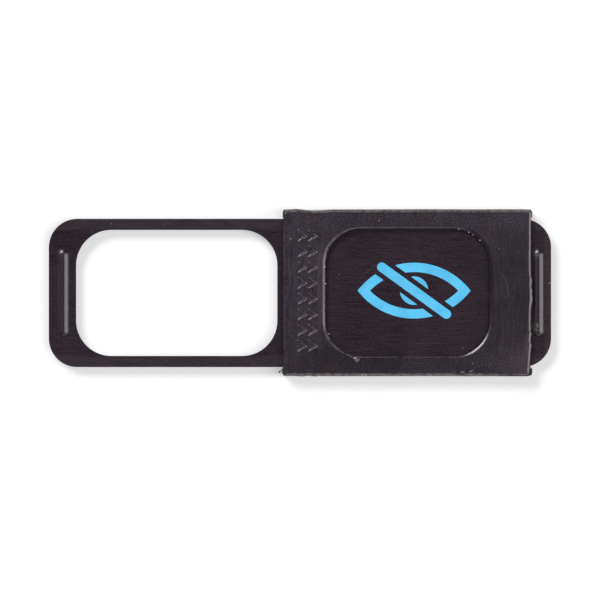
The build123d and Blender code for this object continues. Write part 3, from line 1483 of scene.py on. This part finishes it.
    def front_shell(self, patches: Patchwork) -> list[Ring]:
        """Adds the front wall: slot roof, window, rim, face, bevelled edges and ends.

        Args:
            patches: Where the faces go.

        Returns:
            The rings, from the slot's roof to the foot of the wall's ends.
        """
        stations = self.stations()
        roof = Outline(self.wall_end, self.wall_end, self.slot_half, self.slot_draw_in)
        face = Outline(self.wall_end - self.right_bevel[0], self.wall_end - self.left_bevel[0],
                       self.half_width - self.edge_radius)
        foot = Outline(self.wall_end, self.wall_end, self.half_width)
        hole = self.window.row(stations)
        rim = self.rim.row(stations)
        halfway = mix(self.roof_z, self.front_z - self.rim_drop, 0.5)
        inside = [self.ring(stations, roof, hole, share, self.roof_z) for share in self.slot_rings]
        inside.append(self.ring(stations, roof, hole, 0.0, halfway))
        slope, slope_wear_and_highlight = self._rim_slope(stations, hole, rim)
        flat = [self.ring(stations, face, rim, share, self.front_z) for share in self.face_rings]
        edge, edge_wear = self._front_edge(stations)
        rings = [*inside, *slope, *flat, *edge, self.ring(stations, foot, hole, 1.0, self.roof_z)]
        plain = [0.0] * len(stations)
        wear = [plain] * len(inside) + slope_wear_and_highlight + [plain] * len(flat) + edge_wear + [plain]
        patches.strip(rings, closed=True, wear=wear)
        return rings

    def back_shell(self, patches: Patchwork) -> list[Ring]:
        """Adds the back wall: slot floor, window, its rim and the back face.

        Args:
            patches: Where the faces go.

        Returns:
            The rings, from the slot's floor to the back face's outline.
        """
        stations = self.stations()
        floor = Outline(self.mouth, self.mouth, self.slot_half, self.slot_draw_in)
        back = Outline(self.wall_end, self.wall_end, self.half_width - self.back_radius)
        hole = self.window.row(stations)
        rim = self.window.row(stations, self.back_rim)
        rings = [self.ring(stations, floor, hole, share, self.floor_z) for share in self.slot_rings]
        rings.append(self.ring(stations, back, hole, 0.0, self.back_z + self.back_rim))
        rings += [self.ring(stations, back, rim, share, self.back_z) for share in self.back_rings]
        patches.strip(rings, closed=True)
        return rings

    def wall_rows(self) -> list[Flat]:
        """The rows down the outside of the side walls.

        Returns:
            Height and inset of each row, from the slot's roof to the back face.
        """
        turn = self.back_z + self.back_radius
        heights = (self.roof_z, mix(self.roof_z, self.lip_z, 0.5), self.lip_z, mix(self.lip_z, turn, 0.5))
        rows = [(height, 0.0) for height in heights]
        for inset, drop in eased_bevel(self.back_radius, self.back_radius, 1.0, self.back_steps)[::-1]:
            rows.append((self.back_z + drop, inset))
        return rows

    def outer_walls(self, patches: Patchwork, front: list[Ring], back: list[Ring]) -> None:
        """Adds the side walls' outer faces and ears, the back wall's ends and the slot's sides.

        Args:
            patches: Where the faces go.
            front: The front shell's rings.
            back: The back shell's rings.
        """
        rows = self.wall_rows()
        low_rows = [z for z, _ in rows if z <= self.lip_z + WELD_GAP]
        across = sorted({p[1] for p in back[0] if abs(p[0] - self.mouth) < WELD_GAP})
        for sign in BOTH_WAYS:
            self._side_wall(patches, rows, sign, front[-1])
            self._slot_side(patches, rows, sign, front[0], back[0])
        for end in BOTH_WAYS:
            base = [[(end * self.wall_end, y, z) for y in across] for z in low_rows]
            patches.strip(base)
            patches.strip([base[0], [(end * self.mouth, y, self.floor_z) for y in across]])
            for sign in BOTH_WAYS:
                self._ear(patches, rows, end, sign)

    def _side_wall(self, patches: Patchwork, rows: Sequence[Flat], sign: float, foot: Ring) -> None:
        """Adds one side wall's outer face, from the front wall's foot to the back face.

        Args:
            patches: Where the faces go.
            rows: The rows down the outside.
            sign: 1 for the top wall, -1 for the bottom one.
            foot: The ring at the front wall's foot.
        """
        along = sorted(p[0] for p in foot if abs(p[1] - sign * self.half_width) < WELD_GAP)
        run = [-self.half_length, *along, self.half_length]
        places = [(sign * (self.half_width - inset), height) for height, inset in rows]
        patches.strip([[(x, y, z) for x in run] for y, z in places])

    def _slot_side(self, patches: Patchwork, rows: Sequence[Flat], sign: float, roof: Ring,
                   floor: Ring) -> None:
        """Adds one side of the slot between the front and back walls.

        Args:
            patches: Where the face goes.
            rows: The rows down the outside.
            sign: 1 for the top wall, -1 for the bottom one.
            roof: The ring round the slot's roof.
            floor: The ring round the slot's floor.
        """
        y = sign * self.slot_half
        over = sorted((p for p in roof if abs(p[1] - y) < WELD_GAP), key=lambda p: p[0])
        under = sorted((p for p in floor if abs(p[1] - y) < WELD_GAP), key=lambda p: -p[0])
        heights = [z for z, _ in rows if self.lip_z - WELD_GAP <= z < self.roof_z - WELD_GAP]
        right = [(self.wall_end, y, z) for z in heights]
        left = [(-self.wall_end, y, z) for z in reversed(heights)]
        patches.face([*over, *right, *under, *left])

    def _ear(self, patches: Patchwork, rows: Sequence[Flat], end: float, sign: float) -> None:
        """Adds the ear that a side wall makes past the front and back walls: end, step, back and inside.

        Args:
            patches: Where the faces go.
            rows: The rows down the outside.
            end: 1 for the right end, -1 for the left one.
            sign: 1 for the top wall, -1 for the bottom one.
        """
        inner, outer = [], []
        for grid, x in ((inner, self.wall_end), (outer, self.half_length)):
            for height, inset in rows:
                reach = self.half_width - inset - self.slot_half
                grid.append([(end * x, sign * (self.slot_half + zone * reach), height)
                             for zone in (0.0, *self.zones)])
        patches.strip(outer)
        patches.strip([inner[0], outer[0]])
        patches.strip([inner[-1], outer[-1]])
        patches.strip([[row[0] for row in inner], [row[0] for row in outer]])

    def weather(self, place: Vector) -> Vector:
        """Gives the front wall its uneven moulded edges, and rounds the sleeve's corners in plan.

        Args:
            place: A point of the plain sleeve.

        Returns:
            Where that point goes.
        """
        x, y, z = place
        over_x = abs(x) - (self.half_length - self.plan_corner)
        over_y = abs(y) - (self.half_width - self.plan_corner)
        if over_x > 0 and over_y > 0:
            shrink = max(over_x, over_y) / math.hypot(over_x, over_y)
            x = math.copysign(self.half_length - self.plan_corner + over_x * shrink, x)
            y = math.copysign(self.half_width - self.plan_corner + over_y * shrink, y)
        cloud = Vector((place.x * self.ripple_scale, place.y * self.ripple_scale, self.ripple_level))
        ripple = noise.noise(cloud) * self.ripple_height
        far = smooth_step((abs(place.x) - self.wall_end + self.end_reach) / self.end_reach)
        on_front = z > self.roof_z - WELD_GAP and abs(x) < self.wall_end + WELD_GAP
        if on_front:
            bumps = self.right_edge if x > 0 else self.left_edge
            lift = sum(bump.at(place.y) for bump in bumps) + ripple
            near = smooth_step((abs(x) - self.wall_end + self.lip_reach) / self.lip_reach)
            x += math.copysign(1.0, x) * lift * (near if lift > 0 else far)
        if x < 0:
            x -= far * (self.left_shift + (self.left_overhang if on_front else 0.0))
        bumps = self.top_edge if y > 0 else self.bottom_edge
        lift = sum(bump.at(place.x) for bump in bumps) + ripple
        outward = smooth_step((abs(y) - self.half_width + self.side_reach) / self.side_reach)
        upward = smooth_step((z - self.back_z) / self.side_reach)
        y += math.copysign(1.0, y) * lift * (outward * upward)
        return Vector((x, y, z))

    def build_shell(self) -> Piece:
        """Builds the sleeve itself, in place of its plain solid.

        Returns:
            The piece.
        """
        patches = Patchwork()
        front = self.front_shell(patches)
        back = self.back_shell(patches)
        self.outer_walls(patches, front, back)
        patches.weld()
        patches.reshape(self.weather)
        piece = patches.piece("sleeve_shell", self.material, Body.SLEEVE, Slot.SLEEVE)
        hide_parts("sleeve")
        return piece

    def build_chevrons(self) -> Piece:
        """Builds the column of small raised chevrons beside the window, which point along the slide.

        Returns:
            The piece.
        """
        patches = Patchwork()
        for row in range(self.chevron_rows):
            y = self.chevron_middle[1] + (row - (self.chevron_rows - 1) / 2) * self.chevron_pitch
            for column in (-0.5, 0.5):
                x = self.chevron_middle[0] + column * self.chevron_spacing
                tail = x - self.chevron_depth / 2
                tip = tail + self.chevron_depth
                path = ((tail, y + self.chevron_reach), (tip, y), (tail, y - self.chevron_reach))
                patches.ridge(path, self.chevron_line, self.chevron_height, self.front_z, self.chevron_rub)
        patches.weld()
        return patches.piece("grip_chevrons", self.material, Body.SLEEVE, Slot.SLEEVE, crease=50.0)

    def build_flash(self) -> Piece:
        """Builds the crumbs of moulding flash.

        Returns:
            The piece.
        """
        patches = Patchwork()
        draw = random.Random(self.flash.seed)
        self.flash.add_corner(patches, draw, self.roof_z, self.front_z)
        self.flash.add_scrapes(patches, self.front_z)
        self.flash.add_rim(patches, draw, self.window, self.front_z)
        patches.weld()
        return patches.piece("moulding_flash", self.material, Body.SLEEVE, Slot.SLEEVE, crease=60.0)

    def build(self) -> None:
        """Builds all of the sleeve's pieces."""
        self.build_shell()
        self.build_chevrons()
        self.build_flash()


@dataclass
class Shutter:
    """The sliding plate: its CAD solid in a brushed finish, with a printed privacy mark on its blind end."""

    node: Piece
    high: Vector
    finish: AnodisedFinish = field(default_factory=AnodisedFinish)
    ink: InkFinish = field(default_factory=InkFinish)
    bead_height: float = 0.20
    ink_depth: float = 0.012
    mark_middle: Flat = (0.55, 0.20)
    eye_half_length: float = 4.95
    eye_half_height: float = 2.45
    eye_line: float = 0.82
    iris_radius: float = 1.25
    iris_core: float = 0.2
    slash_length: float = 7.0
    slash_angle: float = 36.0
    slash_gap: float = 0.42
    lid_places: int = 65
    iris_places: int = 48
    iris_rings: int = 5
    slash_places: int = 41

    def __post_init__(self) -> None:
        """Works out the plate's front face from the frame's box."""
        self.front_z = self.high.z - self.bead_height

    def eye_band(self, sign: float) -> list[list[Flat]]:
        """Outer and inner edge of one lid of the eye.

        Args:
            sign: 1 for the upper lid, -1 for the lower one.

        Returns:
            The outer and the inner row of places.
        """
        radius = (self.eye_half_length**2 + self.eye_half_height**2) / (2 * self.eye_half_height)
        drop = radius - self.eye_half_height
        inner_radius = radius - self.eye_line
        inner_half = math.sqrt(inner_radius**2 - drop**2)
        rows = []
        for half, reach in ((self.eye_half_length, radius), (inner_half, inner_radius)):
            limit = math.asin(half / reach)
            rows.append([(reach * math.sin(a), sign * (reach * math.cos(a) - drop))
                         for a in spaced(-limit, limit, self.lid_places)])
        return rows

    def iris(self) -> list[Ring]:
        """The rings of the eye's iris.

        Returns:
            The rings, from the outside to the core.
        """
        turns = [step / self.iris_places * math.tau for step in range(self.iris_places)]
        circle = [(math.cos(turn), math.sin(turn)) for turn in turns]
        radii = spaced(self.iris_radius, self.iris_radius * self.iris_core, self.iris_rings)
        return [[(radius * x, radius * y, 0.0) for x, y in circle] for radius in radii]

    def build_mark(self) -> Piece:
        """Builds the printed mark: an eye with a stroke across it, as a thin film of ink.

        Returns:
            The piece.
        """
        patches = Patchwork()
        for sign in BOTH_WAYS:
            patches.strip([[(x, y, 0.0) for x, y in row] for row in self.eye_band(sign)])
        rings = self.iris()
        patches.strip(rings, closed=True)
        patches.face(rings[-1])
        patches.weld()
        tilt = math.radians(self.slash_angle)
        along = Vector((math.cos(tilt), -math.sin(tilt), 0.0))
        across = Vector((math.sin(tilt), math.cos(tilt), 0.0))
        self._part(patches.mesh, across, self.eye_line / 2 + self.slash_gap)
        self._stroke(patches, along, across)
        film = bmesh.ops.extrude_face_region(patches.mesh, geom=patches.mesh.faces[:])["geom"]
        for vert in film:
            if isinstance(vert, bmesh.types.BMVert):
                vert.co.z += self.ink_depth
        bmesh.ops.recalc_face_normals(patches.mesh, faces=patches.mesh.faces[:])
        middle = Vector((*self.mark_middle, self.front_z))
        patches.reshape(lambda place: place + middle)
        return patches.piece("printed_mark", self.ink.material(), Body.SHUTTER, Slot.SHUTTER)

    @staticmethod
    def _part(mesh: bmesh.types.BMesh, across: Vector, clear: float) -> None:
        """Clears a band of the mark on both sides of a line through its middle.

        Args:
            mesh: The mark's mesh.
            across: The direction across the line.
            clear: Half the band's width.
        """
        for sign in BOTH_WAYS:
            geometry = mesh.verts[:] + mesh.edges[:] + mesh.faces[:]
            bmesh.ops.bisect_plane(mesh, geom=geometry, dist=WELD_GAP, plane_co=across * (sign * clear),
                                   plane_no=across)
        within = [face for face in mesh.faces if abs(face.calc_center_median().dot(across)) < clear]
        bmesh.ops.delete(mesh, geom=within, context="FACES")

    def _stroke(self, patches: Patchwork, along: Vector, across: Vector) -> None:
        """Adds the round-ended stroke across the eye.

        Args:
            patches: Where the faces go.
            along: The stroke's direction.
            across: The direction across it.
        """
        half = self.slash_length / 2
        rows = []
        for angle in spaced(-math.pi / 2, math.pi / 2, self.slash_places):
            reach = (half + self.eye_line / 2 * math.cos(angle)) * along
            side = self.eye_line / 2 * math.sin(angle) * across
            rows.append([tuple(side - reach), tuple(side + reach)])
        patches.strip(rows)

    def build(self) -> None:
        """Dresses the plate and prints its mark."""
        dress(self.node, self.finish.material())
        self.build_mark()


@dataclass
class AdhesiveFrame:
    """The die-cut foam tape on the sleeve's back."""

    node: Piece
    finish: TapeFinish = field(default_factory=TapeFinish)

    def build(self) -> None:
        """Gives the CAD tape its foam finish."""
        dress(self.node, self.finish.material())


@dataclass
class Lint:
    """Grains of lint and dust that lie on the part."""

    sleeve_z: float
    plate_z: float
    finish: LintFinish = field(default_factory=LintFinish)
    flatness: Flat = (0.8, 0.6)
    shape_step: float = 7.3
    on_sleeve: tuple[Grain, ...] = (
        Grain(-10.24, 4.73, 0.00, 0.045),
        Grain(-2.52, 6.33, 0.00, 0.040),
        Grain(-7.30, 2.27, -0.05, 0.070),
        Grain(-7.20, 0.82, -0.10, 0.055),
        Grain(-10.80, 3.60, -0.30, 0.050),
        Grain(-10.72, 6.98, -0.06, 0.050),
        Grain(4.86, 7.10, -0.04, 0.055),
        Grain(4.46, 5.59, -0.08, 0.060),
        Grain(5.32, 5.31, -0.08, 0.060),
        Grain(5.70, 5.10, -0.08, 0.045),
        Grain(6.31, 4.60, -0.08, 0.060),
        Grain(5.66, -6.19, 0.00, 0.040),
        Grain(10.66, -3.52, -0.12, 0.055),
        Grain(-6.90, -3.60, -0.08, 0.050),
        Grain(-3.99, -7.21, -0.04, 0.060),
        Grain(-3.68, -7.22, -0.04, 0.055),
        Grain(8.00, 3.90, 0.00, 0.030),
    )
    on_plate: tuple[Grain, ...] = (
        Grain(4.84, -4.83, 0.0, 0.035),
        Grain(-6.00, 1.60, 0.0, 0.030),
        Grain(12.44, 0.85, 0.0, 0.050),
        Grain(-13.5, -6.2, 0.0, 0.030),
        Grain(-26.0, 6.05, 0.0, 0.030),
    )

    def build(self) -> None:
        """Builds the grains on the sleeve and on the plate."""
        material = self.finish.material()
        rows = (
            ("sleeve_lint", self.on_sleeve, self.sleeve_z, Body.SLEEVE, Slot.SLEEVE),
            ("plate_lint", self.on_plate, self.plate_z, Body.SHUTTER, Slot.SHUTTER),
        )
        for name, grains, face_z, body, slot in rows:
            patches = Patchwork()
            for index, grain in enumerate(grains):
                grain.lay(patches, face_z, self.flatness, self.shape_step * index + face_z)
            patches.piece(name, material, body, slot, crease=70.0)


@dataclass(frozen=True)
class Lamp:
    """One soft lamp that faces the part.

    Its bearing is in degrees in plan, anticlockwise from +X, and its height is its elevation in degrees.
    Its level is how bright its face is, where 1 renders as white.
    """

    name: str
    bearing: float
    height: float
    size: Flat
    level: float
    round_face: bool = False
    distance: float = 1200.0

    def build(self, middle: Vector) -> None:
        """Adds the lamp.

        Args:
            middle: The place that it faces, in metres.
        """
        data = bpy.data.lights.new(self.name, "AREA")
        data.shape = "ELLIPSE" if self.round_face else "RECTANGLE"
        data.size, data.size_y = self.size[0] * MM, self.size[1] * MM
        area = data.size * data.size_y * (math.pi / 4 if self.round_face else 1.0)
        data.energy = self.level * math.pi * area
        lamp = put_in_scene(self.name, data)
        turn = math.radians(self.bearing)
        rise = math.radians(self.height)
        away = Vector((math.cos(rise) * math.cos(turn), math.cos(rise) * math.sin(turn), math.sin(rise)))
        lamp.location = middle + away * self.distance * MM
        lamp.rotation_euler = away.to_track_quat("Z", "Y").to_euler()
        lamp.visible_camera = False


@dataclass
class Studio:
    """The white paper, the soft lights and the camera straight above.

    The key stands at the upper left, the panels stand from the right round to the front, and the sky is even.
    """

    paper: PaperFinish = field(default_factory=PaperFinish)
    paper_half: float = 1500.0
    paper_parts: int = 8
    paper_drop: float = 0.004
    view_middle: Flat = (-9.45, -0.62)
    view_width: float = 52.59
    view_level: float = 1.0
    lens: float = 400.0
    sensor: float = 36.0
    nearest: float = 1.0
    sky: float = 0.08
    lamps: tuple[Lamp, ...] = (
        Lamp("key", 131.0, 40.5, (790.0, 490.0), 12.6, round_face=True),
        Lamp("side_panel", -5.0, 51.5, (450.0, 1250.0), 3.7),
        Lamp("corner_panel", -43.0, 42.0, (300.0, 360.0), 2.2),
        Lamp("front_panel", -84.0, 42.0, (1000.0, 350.0), 1.3),
    )

    def build_paper(self) -> None:
        """Lays the sheet of paper that the part lies on."""
        sheet = bmesh.new()
        bmesh.ops.create_grid(sheet, x_segments=self.paper_parts, y_segments=self.paper_parts,
                              size=self.paper_half * MM)
        data = bpy.data.meshes.new("paper_sheet")
        sheet.to_mesh(data)
        sheet.free()
        data.materials.append(self.paper.material())
        floor = put_in_scene("paper_sheet", data)
        floor.location.z = -self.paper_drop * MM

    def build_lights(self) -> None:
        """Sets the lamps and the sky."""
        for lamp in self.lamps:
            lamp.build(Vector((*self.view_middle, self.view_level)) * MM)
        world = bpy.data.worlds.new("even_sky")
        bpy.context.scene.world = world
        world.use_nodes = True
        background = world.node_tree.nodes["Background"]
        background.inputs["Color"].default_value = WHITE
        background.inputs["Strength"].default_value = self.sky

    def build_camera(self) -> None:
        """Sets the camera straight above, framed as the part is seen."""
        data = bpy.data.cameras.new("camera")
        data.sensor_width = self.sensor
        data.lens = self.lens
        data.clip_start = self.nearest * MM
        camera = put_in_scene("camera", data)
        distance = self.view_width * self.lens / self.sensor
        camera.location = Vector((*self.view_middle, self.view_level + distance)) * MM
        bpy.context.scene.camera = camera
        bpy.context.scene.view_settings.view_transform = "Standard"

    def build(self) -> None:
        """Builds the whole studio."""
        self.build_camera()
        self.build_paper()
        self.build_lights()


def box_of(node: str) -> tuple[Vector, Vector]:
    """A CAD node's lowest and highest corner in millimetres."""
    low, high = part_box(node)
    return Vector(low) / MM, Vector(high) / MM


def main() -> None:
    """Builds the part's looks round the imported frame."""
    logging.basicConfig(level=logging.INFO, format="%(name)s: %(message)s")
    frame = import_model()
    Studio().build()
    sleeve = Sleeve(*box_of("sleeve"))
    sleeve.build()
    shutter = Shutter(frame["nodes"]["shutter"], box_of("shutter")[1])
    shutter.build()
    AdhesiveFrame(frame["nodes"]["adhesive_frame"]).build()
    Lint(sleeve.front_z, shutter.front_z).build()


if __name__ == "__main__":
    main()
